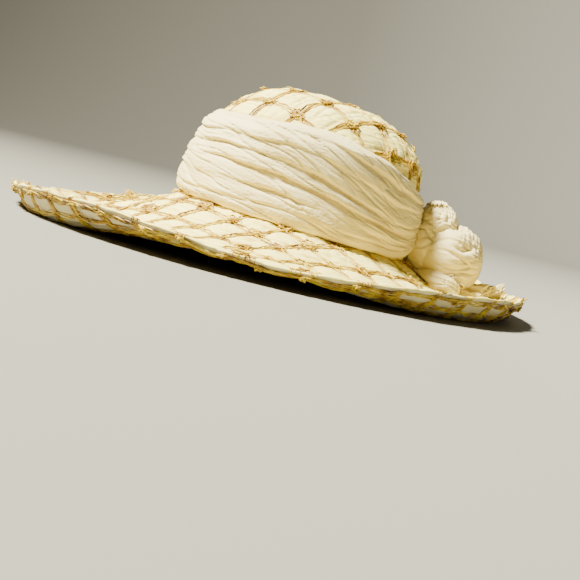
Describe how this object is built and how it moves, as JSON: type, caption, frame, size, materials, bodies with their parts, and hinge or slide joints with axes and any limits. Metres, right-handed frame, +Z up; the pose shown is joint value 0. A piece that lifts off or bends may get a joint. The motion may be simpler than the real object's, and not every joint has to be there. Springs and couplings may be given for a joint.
{
  "type": "wide-brim hat",
  "caption": "Wide-brim hat with a domed crown, a turned-up wavy brim and a draped, folded scarf tied in gathered puffs at the front.",
  "frame": {"origin": "centre of the brim's bounding box, on the surface that the brim rests on", "axes": "+X towards the front, where the scarf is tied, +Z up through the crown"},
  "size_m": [0.47, 0.44, 0.1553],
  "materials": {
    "raffia_and_cream_cloth": "cream crinkled cloth under a golden raffia trellis",
    "cream_cloth": "cream crinkled cloth under a golden raffia trellis",
    "ivory_scarf": "soft ivory crinkled silk"
  },
  "bodies": {
    "root": {"brim": "raffia_and_cream_cloth", "crown": "cream_cloth", "scarf_band": "ivory_scarf", "scarf_bow": "ivory_scarf"}
  },
  "joints": []
}
